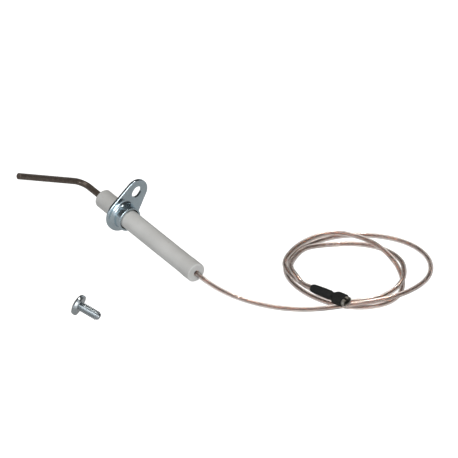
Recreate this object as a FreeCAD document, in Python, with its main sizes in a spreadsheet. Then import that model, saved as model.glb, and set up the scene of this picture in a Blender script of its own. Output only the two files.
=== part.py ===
"""Flame sensor probe: a bent electrode rod in a long ceramic tube with a pressed
fixing flange, a coiled lead that ends in a sleeved push-on receptacle, and its screw.

Frame, in millimetres: the ceramic tube lies along X with the lead at its +X end,
the origin is on the tube's axis at the flange's seating face, and +Z is up, away
from the table that the flange's rim, the coil and the screw rest on.
"""

import FreeCAD, Part
import math
import os
import Sketcher
from FreeCAD import Placement, Rotation, Vector

doc = FreeCAD.newDocument("flame_sensor_probe")

X_AXIS = Vector(1, 0, 0)
Z_AXIS = Vector(0, 0, 1)
ORIGIN = Vector(0, 0, 0)

DIMENSIONS = [
    # sensing rod
    ("rod_dia", 2.8),
    ("rod_bend_x", -29.5),
    ("rod_bend_angle", 90.0),
    ("rod_bend_radius", 5.0),
    ("rod_outer_len", 37.4),
    ("rod_roll", 26.2),
    ("rod_tip_round", 0.3),
    ("rod_tail_x", 24.0),
    ("rod_tail_dia", 1.6),
    ("rod_tail_len", 8.0),
    # ceramic tube
    ("ceramic_dia", 8.5),
    ("ceramic_nose_x", -14.0),
    ("ceramic_rear_x", 55.5),
    ("ceramic_round", 0.65),
    ("swell_len", 8.0),
    ("swell_ramp", 2.0),
    ("swell_dia", 8.75),
    ("front_bore_dia", 2.9),
    ("rear_bore_dia", 2.7),
    ("bore_step_x", 24.5),
    ("nose_recess_dia", 4.2),
    ("nose_recess_len", 2.5),
    # mounting flange
    ("plate_thick", 1.2),
    ("plate_radius", 8.2),
    ("ear_radius", 5.8),
    ("ear_reach", 11.4),
    ("ear_tilt", 40.0),
    ("slot_width", 4.4),
    ("slot_len", 5.5),
    ("collar_outer_dia", 11.2),
    ("collar_inner_dia", 9.5),
    ("collar_len", 6.2),
    ("shoulder_dia", 15.0),
    ("collar_root_round", 1.6),
    ("collar_mouth_round", 1.2),
    ("rim_round", 0.2),
    ("plate_edge_round", 0.4),
    # cement fillings
    ("cement_start_x", 1.4),
    ("cement_end_x", 5.0),
    ("nose_cement_len", 2.2),
    ("rear_cement_start_x", 44.0),
    ("rear_cement_end_x", 55.2),
    # splice between rod and lead
    ("ferrule_dia", 2.45),
    ("ferrule_len", 12.0),
    ("ferrule_start_x", 26.0),
    ("ferrule_rod_bore", 1.66),
    ("ferrule_core_bore", 0.96),
    ("ferrule_web_gap", 0.2),
    ("core_gap", 0.5),
    # lead
    ("sheath_dia", 2.2),
    ("core_dia", 0.9),
    ("core_hole_dia", 0.94),
    ("sheath_start_x", 39.5),
    ("yaw_pivot_x", 56.8),
    ("lift_pivot_x", 59.2),
    ("pivot_gap", 0.06),
    ("joint_len", 1.2),
    ("joint_inset", 0.88),
    # terminal and its sleeve, whose rear end stands at this place and heading
    ("terminal_x", 89.5),
    ("terminal_y", 36.2),
    ("terminal_z", -3.2),
    ("terminal_heading", 13.2),
    ("terminal_pitch", 5.0),
    ("terminal_roll", 12.0),
    ("terminal_pivot_back", 1.4),
    ("sleeve_rear_dia", 3.6),
    ("sleeve_crimp_dia", 4.2),
    ("sleeve_len", 18.0),
    ("sleeve_waist_dia", 3.9),
    ("sleeve_waist_height", 3.6),
    ("sleeve_lead_in", 1.0),
    ("sleeve_lead_in_rise", 0.3),
    ("sleeve_crimp_start", 6.0),
    ("sleeve_crimp_end", 10.4),
    ("sleeve_waist_x", 11.8),
    ("sleeve_box_start", 13.0),
    ("sleeve_wall", 0.3),
    ("sleeve_play", 0.1),
    ("sleeve_corner", 1.0),
    ("receptacle_width", 5.2),
    ("receptacle_height", 2.9),
    ("receptacle_len", 6.2),
    ("receptacle_front", 19.5),
    ("strip_thick", 0.4),
    ("curl_lip", 0.9),
    ("barrel_dia", 2.9),
    ("barrel_len", 3.2),
    ("grip_start", 2.4),
    ("grip_end", 4.75),
    ("grip_dia", 3.0),
    ("grip_len", 2.6),
    ("barrel_gap", 0.5),
    ("core_reach", 0.8),
    ("grip_strip_width", 1.4),
    ("neck_width", 1.6),
    ("neck_rise", 0.15),
    ("strip_lap", 0.2),
    # fixing screw, lying on the rim of its head and its tip
    ("head_dia", 9.3),
    ("head_thick", 3.1),
    ("head_rim", 1.9),
    ("thread_dia", 4.2),
    ("thread_root_dia", 3.4),
    ("thread_pitch", 0.8),
    ("thread_len", 9.6),
    ("screw_tip_len", 1.2),
    ("screw_tip_dia", 2.6),
    ("recess_width", 0.9),
    ("recess_span", 4.4),
    ("recess_depth", 1.6),
    ("screw_head_x", 41.9),
    ("screw_head_y", -50.8),
    ("screw_heading", 27.4),
]

# Slack when edges are picked by where they lie, and the gap below which two places are one.
PICK_SLACK = 0.1
SAME_PLACE = 0.01
# Clearance at each end of the lead's core.
JOINT_PLAY = 0.02

# The lead's centre line on the table, from the swivel behind the tube to the terminal.
# Where it crosses itself the upper strand stands one sheath diameter higher.
FLOOR = -7.1
OVER = -4.75
LEAD_IN = [(66.5, 3.0, -2.7), (77, 10.3, -6), (89.5, 20.3, FLOOR), (100.6, 32.9, -6.2)]
FIRST_TURN = [
    (107.2, 43.3, OVER), (111.6, 54.2, -4.7), (113.8, 64.6, -4.7), (112.6, 74.2, -5.6),
    (107.4, 85.4, -6.8), (98.5, 92.3, FLOOR), (87.2, 93.6, FLOOR), (75.7, 89.1, FLOOR),
    (66, 80, FLOOR), (60.3, 69.2, FLOOR), (58.7, 58.2, FLOOR), (61.1, 46.3, FLOOR),
    (68.0, 38.2, FLOOR), (80, 34.8, FLOOR), (91.5, 36.2, FLOOR),
]
SECOND_TURN = [
    (102.6, 41.6, FLOOR), (110.2, 50.4, FLOOR), (112.6, 61.4, FLOOR), (108.5, 69.8, FLOOR),
    (100.3, 75.8, -6.9), (90, 79, -5.8), (78.5, 78.9, OVER), (67.5, 75.4, OVER),
    (60, 68, OVER), (58.2, 57, OVER), (61.2, 46, OVER), (67.7, 38.0, OVER),
    (76.5, 36.1, -5), (87, 38.1, -6.4), (98, 42, FLOOR),
]
THIRD_TURN = [
    (104.3, 49.5, FLOOR), (108.4, 59.7, -6.4), (107.3, 69.9, -4.7), (100.4, 77.2, -4.4),
    (90.5, 81.7, -6.0), (79, 80.9, FLOOR), (70.2, 74.2, FLOOR), (64.6, 66, FLOOR),
    (62.4, 59, -6.2), (62.5, 52.7, -5.0), (67.7, 42.1, -3.9), (73.7, 36.9, -2.45),
    (80.3, 35.4, -2.9),
]
LEAD_LEAVE = Vector(2, 0.26, -0.24)
TERMINAL_APPROACH = 1.8


def make_sheet():
    """Driving dimensions: one named cell each."""
    cells = doc.addObject("Spreadsheet::Sheet", "Dimensions")
    for row, (alias, value) in enumerate(DIMENSIONS, start=1):
        cells.set("A%d" % row, alias)
        cells.set("B%d" % row, str(value))
        cells.setAlias("B%d" % row, alias)
    doc.recompute()
    return cells


sheet = make_sheet()


def dim(alias):
    return float(sheet.get(alias))


def cell(alias):
    return "Dimensions." + alias


def place(obj, placement):
    obj.Placement = placement
    return obj


# ---------------------------------------------------------------- building helpers

def origin_plane(body, role):
    for feature in body.Origin.OriginFeatures:
        if feature.Role == role:
            return feature
    raise ValueError(role)


def new_body(label):
    body = doc.addObject("PartDesign::Body", label)
    body.Label = label
    return body


def new_sketch(body, name, role):
    sketch = body.newObject("Sketcher::SketchObject", name)
    sketch.AttachmentSupport = [(origin_plane(body, role), "")]
    sketch.MapMode = "FlatFace"
    return sketch


def bind(sketch, constraint, expression):
    """Add a dimension to a sketch and drive it from the sheet."""
    index = sketch.addConstraint(constraint)
    sketch.setExpression("Constraints[%d]" % index, expression)


def circle(sketch, radius_guess, diameter_expression):
    """A circle centred on the sketch's origin."""
    index = sketch.addGeometry(Part.Circle(ORIGIN, Z_AXIS, radius_guess))
    sketch.addConstraint(Sketcher.Constraint("Coincident", index, 3, -1, 1))
    bind(sketch, Sketcher.Constraint("Diameter", index, 2 * radius_guess), diameter_expression)


def closed_outline(sketch, corners):
    """A closed polygon whose corners are pairs of sheet expressions for x and y."""
    points = []
    for x_text, y_text in corners:
        points.append(Vector(evaluate(x_text), evaluate(y_text), 0))
    count = len(points)
    first = sketch.GeometryCount
    for i in range(count):
        sketch.addGeometry(Part.LineSegment(points[i], points[(i + 1) % count]))
    for i in range(count):
        sketch.addConstraint(
            Sketcher.Constraint("Coincident", first + i, 2, first + (i + 1) % count, 1))
    for i, (x_text, y_text) in enumerate(corners):
        for kind, text, value in (("DistanceX", x_text, points[i].x),
                                  ("DistanceY", y_text, points[i].y)):
            if text == "0":
                axis = -2 if kind == "DistanceX" else -1
                sketch.addConstraint(Sketcher.Constraint("PointOnObject", first + i, 1, axis))
            else:
                bind(sketch, Sketcher.Constraint(kind, -1, 1, first + i, 1, value), text)


def evaluate(text):
    """The number that a sheet expression stands for."""
    if text == "0":
        return 0.0
    return float(sheet.evalExpression(text))


def revolved(body, name, corners, kind="PartDesign::Revolution"):
    """A profile in the XZ plane turned about the X axis."""
    sketch = new_sketch(body, name + "_profile", "XZ_Plane")
    closed_outline(sketch, corners)
    feature = body.newObject(kind, name)
    feature.Profile = (sketch, [""])
    feature.ReferenceAxis = (sketch, ["H_Axis"])
    feature.Angle = 360
    doc.recompute()
    return feature


def circular_edges(shape, x, radius, tolerance=0.02):
    """Names of the round edges at a station along X with a given radius."""
    names = []
    for number, edge in enumerate(shape.Edges, start=1):
        curve = edge.Curve
        if curve.TypeId != "Part::GeomCircle":
            continue
        if abs(curve.Center.x - x) < tolerance and abs(curve.Radius - radius) < tolerance:
            names.append("Edge%d" % number)
    return names


def rounded(body, name, edge_names, radius_alias):
    """Round edges of the body's tip."""
    base = body.Tip
    if not edge_names:
        raise ValueError("no edges found for " + name)
    feature = body.newObject("PartDesign::Fillet", name)
    feature.Base = (base, edge_names)
    feature.setExpression("Radius", cell(radius_alias))
    doc.recompute()
    return feature


def ring(label, start, end, inner_radius, outer_radius):
    """A plain tube along X; every argument is a sheet expression."""
    outer = doc.addObject("Part::Cylinder", label + "_outer")
    outer.setExpression("Radius", outer_radius)
    outer.setExpression("Height", "(%s) - (%s)" % (end, start))
    inner = doc.addObject("Part::Cylinder", label + "_inner")
    inner.setExpression("Radius", inner_radius)
    inner.setExpression("Height", "(%s) - (%s)" % (end, start))
    tube = doc.addObject("Part::Cut", label)
    tube.Label = label
    tube.Base = outer
    tube.Tool = inner
    along_x = Rotation(Z_AXIS, X_AXIS)
    return place(tube, Placement(Vector(evaluate(start), 0, 0), along_x))


# ------------------------------------------------------------------- electrode end

def sensing_rod():
    """Heat-resistant rod: straight through the nose, one bend, and a turned-down tail."""
    body = new_body("sensing_rod")
    bend = math.radians(dim("rod_bend_angle"))
    radius = dim("rod_bend_radius")
    tangent = radius * math.tan(bend / 2)
    apex = Vector(dim("rod_bend_x"), 0, 0)
    out = Vector(-math.cos(bend), -math.sin(bend), 0)
    bend_start = apex + Vector(tangent, 0, 0)
    bend_end = apex + out * tangent
    centre = bend_start + Vector(0, -radius, 0)
    path = new_sketch(body, "rod_path", "XY_Plane")
    shank = path.addGeometry(Part.LineSegment(Vector(dim("rod_tail_x"), 0, 0), bend_start))
    arc = path.addGeometry(Part.ArcOfCircle(
        Part.Circle(centre, Z_AXIS, radius), math.pi / 2, math.pi / 2 + bend))
    reach = path.addGeometry(Part.LineSegment(bend_end, apex + out * dim("rod_outer_len")))
    path.addConstraint(Sketcher.Constraint("Horizontal", shank))
    path.addConstraint(Sketcher.Constraint("PointOnObject", shank, 1, -1))
    path.addConstraint(Sketcher.Constraint("Tangent", shank, 2, arc, 1))
    path.addConstraint(Sketcher.Constraint("Tangent", arc, 2, reach, 1))
    bind(path, Sketcher.Constraint("DistanceX", -1, 1, shank, 1, dim("rod_tail_x")),
         cell("rod_tail_x"))
    bind(path, Sketcher.Constraint("DistanceX", -1, 1, shank, 2, bend_start.x),
         "{0} + {1} * tan({2} * 1 deg / 2)".format(
             cell("rod_bend_x"), cell("rod_bend_radius"), cell("rod_bend_angle")))
    bind(path, Sketcher.Constraint("Radius", arc, radius), cell("rod_bend_radius"))
    bind(path, Sketcher.Constraint("Angle", -1, 1, reach, 1, math.pi + bend),
         "(180 + %s) * 1 deg" % cell("rod_bend_angle"))
    bind(path, Sketcher.Constraint("Distance", reach, (bend_end - apex).Length),
         "{0} - {1} * tan({2} * 1 deg / 2)".format(
             cell("rod_outer_len"), cell("rod_bend_radius"), cell("rod_bend_angle")))
    section = new_sketch(body, "rod_section", "YZ_Plane")
    section.setExpression("AttachmentOffset.Base.z", cell("rod_tail_x"))
    circle(section, dim("rod_dia") / 2, cell("rod_dia"))
    doc.recompute()
    pipe = body.newObject("PartDesign::AdditivePipe", "rod_pipe")
    pipe.Profile = (section, [""])
    pipe.Spine = (path, [])
    doc.recompute()
    tail = new_sketch(body, "tail_section", "YZ_Plane")
    tail.setExpression("AttachmentOffset.Base.z", cell("rod_tail_x"))
    circle(tail, dim("rod_tail_dia") / 2, cell("rod_tail_dia"))
    pad = body.newObject("PartDesign::Pad", "rod_tail")
    pad.Profile = (tail, [""])
    pad.setExpression("Length", cell("rod_tail_len"))
    doc.recompute()
    tip = apex + out * dim("rod_outer_len")
    names = []
    for number, edge in enumerate(pad.Shape.Edges, start=1):
        round_edge = edge.Curve.TypeId == "Part::GeomCircle"
        if round_edge and edge.Curve.Center.distanceToPoint(tip) < PICK_SLACK:
            names.append("Edge%d" % number)
    rounded(body, "rod_tip", names, "rod_tip_round")
    return place(body, Placement(ORIGIN, Rotation(X_AXIS, -dim("rod_roll"))))


def ceramic_insulator():
    """Fired tube with a stepped bore, a recess in its nose and a slight swell at the rear."""
    body = new_body("ceramic_insulator")
    outer = cell("ceramic_dia") + " / 2"
    rear = cell("ceramic_rear_x")
    nose = cell("ceramic_nose_x")
    swell = cell("swell_dia") + " / 2"
    front_bore = cell("front_bore_dia") + " / 2"
    rear_bore = cell("rear_bore_dia") + " / 2"
    recess = cell("nose_recess_dia") + " / 2"
    recess_end = nose + " + " + cell("nose_recess_len")
    step = cell("bore_step_x")
    swell_start = rear + " - " + cell("swell_len")
    revolved(body, "tube", [
        (nose, recess), (nose, outer), (swell_start, outer),
        (swell_start + " + " + cell("swell_ramp"), swell), (rear, swell),
        (rear, rear_bore), (step, rear_bore), (step, front_bore),
        (recess_end, front_bore), (recess_end, recess)])
    tube = body.Tip.Shape
    ends = circular_edges(tube, dim("ceramic_nose_x"), dim("ceramic_dia") / 2)
    ends += circular_edges(tube, dim("ceramic_rear_x"), dim("swell_dia") / 2)
    rounded(body, "tube_ends", ends, "ceramic_round")
    return body


def nose_cement():
    """Cement ring that seals the rod in the tube's nose."""
    nose = cell("ceramic_nose_x")
    start = "%s + %s - %s" % (nose, cell("nose_recess_len"), cell("nose_cement_len"))
    end = "%s + %s" % (nose, cell("nose_recess_len"))
    return ring("nose_cement", start, end,
                cell("rod_dia") + " / 2", cell("nose_recess_dia") + " / 2")


def rear_cement():
    """Potting ring that anchors the lead in the rear bore."""
    return ring("rear_cement", cell("rear_cement_start_x"), cell("rear_cement_end_x"),
                cell("sheath_dia") + " / 2", cell("rear_bore_dia") + " / 2")


def collar_cement():
    """Cement between the flange's collar and the tube, kept back from the rim."""
    return ring("collar_cement", cell("cement_start_x"), cell("cement_end_x"),
                cell("ceramic_dia") + " / 2", cell("collar_inner_dia") + " / 2")


def splice_ferrule():
    """Crimp barrel that joins the rod's tail to the bare core, with a web between."""
    body = new_body("splice_ferrule")
    start = cell("ferrule_start_x")
    end = start + " + " + cell("ferrule_len")
    middle = " + ".join([cell("rod_tail_x"), cell("rod_tail_len"), cell("ferrule_web_gap")])
    outer = cell("ferrule_dia") + " / 2"
    rod_bore = cell("ferrule_rod_bore") + " / 2"
    core_bore = cell("ferrule_core_bore") + " / 2"
    revolved(body, "barrel", [
        (start, rod_bore), (start, outer), (end, outer), (end, core_bore),
        (middle, core_bore), (middle, rod_bore)])
    return body


# -------------------------------------------------------------------------- flange

def ear_outline(sketch):
    """Round plate with a tapering ear: two arcs joined by their common tangents."""
    big = dim("plate_radius")
    small = dim("ear_radius")
    reach = dim("ear_reach")
    lean = math.asin((big - small) / reach)
    top = Vector(0, reach, 0)
    side = Vector(math.cos(lean), math.sin(lean), 0)
    mirror = Vector(-math.cos(lean), math.sin(lean), 0)
    plate = sketch.addGeometry(Part.ArcOfCircle(
        Part.Circle(ORIGIN, Z_AXIS, big), math.pi - lean, 2 * math.pi + lean))
    right = sketch.addGeometry(Part.LineSegment(side * big, top + side * small))
    ear = sketch.addGeometry(Part.ArcOfCircle(
        Part.Circle(top, Z_AXIS, small), lean, math.pi - lean))
    left = sketch.addGeometry(Part.LineSegment(top + mirror * small, mirror * big))
    for first, second in ((plate, right), (right, ear), (ear, left), (left, plate)):
        sketch.addConstraint(Sketcher.Constraint("Tangent", first, 2, second, 1))
    sketch.addConstraint(Sketcher.Constraint("Coincident", plate, 3, -1, 1))
    sketch.addConstraint(Sketcher.Constraint("PointOnObject", ear, 3, -2))
    bind(sketch, Sketcher.Constraint("Radius", plate, big), cell("plate_radius"))
    bind(sketch, Sketcher.Constraint("Radius", ear, small), cell("ear_radius"))
    bind(sketch, Sketcher.Constraint("DistanceY", -1, 1, ear, 3, reach), cell("ear_reach"))


def slot_outline(sketch):
    """Straight slot along the ear, centred on the ear's own radius."""
    half_width = dim("slot_width") / 2
    half_run = dim("slot_len") / 2 - half_width
    centre = dim("ear_reach")
    high = Vector(0, centre + half_run, 0)
    low = Vector(0, centre - half_run, 0)
    shift = Vector(half_width, 0, 0)
    top = sketch.addGeometry(Part.ArcOfCircle(
        Part.Circle(high, Z_AXIS, half_width), 0, math.pi))
    left = sketch.addGeometry(Part.LineSegment(high - shift, low - shift))
    bottom = sketch.addGeometry(Part.ArcOfCircle(
        Part.Circle(low, Z_AXIS, half_width), math.pi, 2 * math.pi))
    right = sketch.addGeometry(Part.LineSegment(low + shift, high + shift))
    for first, second in ((top, left), (left, bottom), (bottom, right), (right, top)):
        sketch.addConstraint(Sketcher.Constraint("Tangent", first, 2, second, 1))
    sketch.addConstraint(Sketcher.Constraint("PointOnObject", top, 3, -2))
    sketch.addConstraint(Sketcher.Constraint("PointOnObject", bottom, 3, -2))
    half = "({0} - {1}) / 2".format(cell("slot_len"), cell("slot_width"))
    bind(sketch, Sketcher.Constraint("Radius", top, half_width), cell("slot_width") + " / 2")
    bind(sketch, Sketcher.Constraint("DistanceY", -1, 1, top, 3, high.y),
         "%s + %s" % (cell("ear_reach"), half))
    bind(sketch, Sketcher.Constraint("DistanceY", -1, 1, bottom, 3, low.y),
         "%s - %s" % (cell("ear_reach"), half))


def outline_edges(shape, x):
    """Edges of the plate's outer outline that lie in the plane at x."""
    inside = dim("plate_radius") - PICK_SLACK
    slot_side = dim("slot_width") / 2 + PICK_SLACK
    slot_top = dim("ear_reach") + dim("slot_len") / 2 + PICK_SLACK
    names = []
    for number, edge in enumerate(shape.Edges, start=1):
        box = edge.BoundBox
        if abs(box.XMin - x) > SAME_PLACE or abs(box.XMax - x) > SAME_PLACE:
            continue
        middle = edge.valueAt((edge.FirstParameter + edge.LastParameter) / 2)
        offset = math.hypot(middle.y, middle.z)
        on_slot = middle.z > 0 and abs(middle.y) < slot_side and offset < slot_top
        if offset > inside and not on_slot:
            names.append("Edge%d" % number)
    return names


def mounting_flange():
    """Pressed steel plate with a slotted ear and a collar drawn towards the lead."""
    body = new_body("mounting_flange")
    thick = cell("plate_thick")
    length = cell("collar_len")
    outer = cell("collar_outer_dia") + " / 2"
    inner = cell("collar_inner_dia") + " / 2"
    shoulder = cell("shoulder_dia") + " / 2"
    revolved(body, "collar", [
        ("0", inner), (length, inner), (length, outer),
        (thick, outer), (thick, shoulder), ("0", shoulder)])
    plate_x = dim("plate_thick")
    rounded(body, "collar_root", circular_edges(
        body.Tip.Shape, plate_x, dim("collar_outer_dia") / 2), "collar_root_round")
    rounded(body, "collar_mouth", circular_edges(
        body.Tip.Shape, 0, dim("collar_inner_dia") / 2), "collar_mouth_round")
    rim = circular_edges(body.Tip.Shape, dim("collar_len"), dim("collar_outer_dia") / 2)
    rim += circular_edges(body.Tip.Shape, dim("collar_len"), dim("collar_inner_dia") / 2)
    rounded(body, "collar_rim", rim, "rim_round")
    outline = new_sketch(body, "plate_outline", "YZ_Plane")
    ear_outline(outline)
    circle(outline, dim("shoulder_dia") / 2, cell("shoulder_dia"))
    plate = body.newObject("PartDesign::Pad", "plate")
    plate.Profile = (outline, [""])
    plate.setExpression("Length", thick)
    doc.recompute()
    slot = new_sketch(body, "slot_outline", "YZ_Plane")
    slot_outline(slot)
    through_cut(body, "fixing_slot", slot)
    rounded(body, "plate_edge", outline_edges(body.Tip.Shape, plate_x), "plate_edge_round")
    tilt = Rotation(X_AXIS, -dim("ear_tilt"))
    return place(body, Placement(ORIGIN, tilt))


def through_cut(body, name, sketch):
    """Pocket right through along +X, checked to have removed material."""
    before = body.Tip.Shape.Volume
    pocket = body.newObject("PartDesign::Pocket", name)
    pocket.Profile = (sketch, [""])
    pocket.Type = "ThroughAll"
    pocket.Midplane = True
    doc.recompute()
    if not pocket.Shape.Volume < before - 1:
        raise RuntimeError(name + " removed nothing")
    return pocket


# ---------------------------------------------------------------------------- lead

def straight_lead(part, start, end, ball_at_start, frame):
    """A straight stretch of sheath and core along local X, with a round joint end."""
    radius = cell("sheath_dia") + " / 2"
    length = end - start
    tube = doc.addObject("Part::Cylinder", part + "_tube")
    tube.setExpression("Radius", radius)
    tube.Height = length
    solid = tube
    if ball_at_start:
        ball = doc.addObject("Part::Sphere", part + "_ball")
        ball.setExpression("Radius", radius)
        solid = doc.addObject("Part::MultiFuse", part + "_body")
        solid.Shapes = [tube, ball]
    inset = dim("joint_inset") if ball_at_start else 0.0
    hole = doc.addObject("Part::Cylinder", part + "_hole")
    hole.setExpression("Radius", cell("core_hole_dia") + " / 2")
    hole.Height = length + inset
    hole.Placement = Placement(Vector(0, 0, -inset), Rotation())
    sheath = doc.addObject("Part::Cut", "lead_sheath_" + part)
    sheath.Label = "lead_sheath_" + part
    sheath.Base = solid
    sheath.Tool = hole
    core = doc.addObject("Part::Cylinder", "lead_core_" + part)
    core.Label = "lead_core_" + part
    core.setExpression("Radius", cell("core_dia") + " / 2")
    along_x = Placement(Vector(start, 0, 0), Rotation(Z_AXIS, X_AXIS))
    place(sheath, frame.multiply(along_x))
    return sheath, core, inset


def pivot_back():
    """Distance from a lead pivot back to the flat end of the stretch behind it."""
    return dim("sheath_dia") / 2 + dim("pivot_gap")


def lead_root():
    """Fixed stretch of lead, from the splice out through the rear cement."""
    end = dim("yaw_pivot_x") - pivot_back()
    sheath, core, inset = straight_lead(
        "root", dim("sheath_start_x"), end, False, Placement())
    bare = dim("rod_tail_x") + dim("rod_tail_len") + dim("core_gap")
    core.Height = end - bare
    place(core, Placement(Vector(bare, 0, 0), Rotation(Z_AXIS, X_AXIS)))
    return [sheath, core]


def lead_neck():
    """Short stretch between the sideways and the lifting pivots."""
    start = dim("yaw_pivot_x")
    end = dim("lift_pivot_x") - pivot_back()
    sheath, core, inset = straight_lead("neck", start, end, True, Placement())
    core.Height = end - start + inset - JOINT_PLAY
    place(core, Placement(Vector(start - inset + JOINT_PLAY, 0, 0), Rotation(Z_AXIS, X_AXIS)))
    return [sheath, core]


def terminal_frame():
    """Local frame of the terminal: origin at the sleeve's rear end, +X to its mouth."""
    base = Vector(dim("terminal_x"), dim("terminal_y"), dim("terminal_z"))
    turn = Rotation(dim("terminal_heading"), -dim("terminal_pitch"), dim("terminal_roll"))
    return Placement(base, turn)


def lead_route():
    """Spline through the route points, in line with the straight stretches at both ends."""
    frame = terminal_frame()
    ahead = frame.Rotation.multVec(X_AXIS)
    finish = frame.Base - ahead * (dim("terminal_pivot_back") + pivot_back())
    start = Vector(run_start_x(), 0, 0)
    points = [start, start + LEAD_LEAVE]
    for x, y, z in LEAD_IN + FIRST_TURN + SECOND_TURN + THIRD_TURN:
        points.append(Vector(x, y, z))
    points.append(finish - ahead * TERMINAL_APPROACH)
    points.append(finish)
    curve = Part.BSplineCurve()
    curve.interpolate(Points=points)
    return Part.Wire([curve.toShape()])


def run_start_x():
    return dim("lift_pivot_x") + dim("joint_len")


def swept_round(route, diameter):
    """A round bar along the route."""
    start = Vector(run_start_x(), 0, 0)
    section = Part.Wire([Part.Circle(start, X_AXIS, diameter / 2).toShape()])
    return route.makePipeShell([section], True, True)


def lead_run():
    """The free lead: three loose turns on the table, as sheath and core."""
    route = lead_route()
    sheath_radius = dim("sheath_dia") / 2
    hole_radius = dim("core_hole_dia") / 2
    core_radius = dim("core_dia") / 2
    inset = dim("joint_inset")
    pivot = Vector(dim("lift_pivot_x"), 0, 0)
    joint = Part.makeCylinder(sheath_radius, dim("joint_len"), pivot, X_AXIS)
    joint = joint.fuse(Part.makeSphere(sheath_radius, pivot))
    hole_start = pivot - X_AXIS * inset
    joint = joint.cut(Part.makeCylinder(hole_radius, dim("joint_len") + inset, hole_start, X_AXIS))
    coil = swept_round(route, 2 * sheath_radius).cut(swept_round(route, 2 * hole_radius))
    core_start = hole_start + X_AXIS * JOINT_PLAY
    core_joint = Part.makeCylinder(
        core_radius, dim("joint_len") + inset - JOINT_PLAY, core_start, X_AXIS)
    sheath = solid_feature("lead_sheath_run", joint.fuse(coil))
    core = solid_feature("lead_core_run", core_joint.fuse(swept_round(route, 2 * core_radius)))
    return [sheath, core]


def solid_feature(label, shape):
    """A piece whose shape is made directly with Part functions."""
    feature = doc.addObject("Part::Feature", label)
    feature.Label = label
    feature.Shape = shape
    return feature


def lead_tail():
    """Last stretch of lead, from the terminal's pivot into its crimp."""
    frame = terminal_frame()
    start = -dim("terminal_pivot_back")
    grip_end = dim("grip_end")
    sheath, core, inset = straight_lead("tail", start, grip_end, True, frame)
    core_end = grip_end + dim("barrel_len") + dim("core_reach")
    core.Height = core_end - start + inset - JOINT_PLAY
    local = Placement(Vector(start - inset + JOINT_PLAY, 0, 0), Rotation(Z_AXIS, X_AXIS))
    place(core, frame.multiply(local))
    return [sheath, core]


# --------------------------------------------------------------- terminal and screw

def rounded_rectangle(x, width, height, radius):
    """Closed wire in the plane at x, with rounded corners; width along Y."""
    half_w = width / 2 - radius
    half_h = height / 2 - radius
    edges = []
    corners = [(half_w, half_h), (-half_w, half_h), (-half_w, -half_h), (half_w, -half_h)]
    for i, (y, z) in enumerate(corners):
        edges.append(corner_arc(x, y, z, radius, 90 * i))
    wires = []
    for i, arc in enumerate(edges):
        wires.append(arc)
        nxt = edges[(i + 1) % 4]
        start = arc.Vertexes[-1].Point
        end = nxt.Vertexes[0].Point
        if start.distanceToPoint(end) > 1e-4:
            wires.append(Part.LineSegment(start, end).toShape())
    return Part.Wire(wires)


def corner_arc(x, y, z, radius, start_angle):
    """Quarter arc about (y, z) in the plane at x, turning from Y towards Z."""
    points = []
    for angle in (start_angle, start_angle + 45, start_angle + 90):
        turn = math.radians(angle)
        points.append(Vector(x, y + radius * math.cos(turn), z + radius * math.sin(turn)))
    return Part.Arc(*points).toShape()


# Corner radius of a nearly round section, as a share of its width.
NEARLY_ROUND = 0.49


def sleeve_stations(shrink):
    """Cross-sections of the sleeve from rear to mouth: x, width, height, corner radius."""
    rear = dim("sleeve_rear_dia") - shrink
    lead_in = rear + dim("sleeve_lead_in_rise")
    crimp = dim("sleeve_crimp_dia") - shrink
    margin = 2 * dim("sleeve_wall") + dim("sleeve_play") - shrink
    width = dim("receptacle_width") + margin
    height = dim("receptacle_height") + margin
    waist = dim("sleeve_waist_dia") - shrink
    waist_height = dim("sleeve_waist_height") - shrink
    corner = dim("sleeve_corner") - shrink / 2
    return [
        (0.0, rear, rear, rear * NEARLY_ROUND),
        (dim("sleeve_lead_in"), lead_in, lead_in, lead_in * NEARLY_ROUND),
        (dim("sleeve_crimp_start"), crimp, crimp, crimp * NEARLY_ROUND),
        (dim("sleeve_crimp_end"), crimp, crimp, crimp * NEARLY_ROUND),
        (dim("sleeve_waist_x"), waist, waist_height, waist_height * NEARLY_ROUND),
        (dim("sleeve_box_start"), width, height, corner),
        (dim("sleeve_len"), width, height, corner),
    ]


def loft(stations):
    wires = [rounded_rectangle(*station) for station in stations]
    return Part.makeLoft(wires, True, True)


def terminal_sleeve():
    """Black shrink sleeve that follows the crimp and the receptacle inside it."""
    outer = loft(sleeve_stations(0.0))
    inner = loft(sleeve_stations(2 * dim("sleeve_wall")))
    return place(solid_feature("terminal_sleeve", outer.cut(inner)), terminal_frame())


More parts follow.
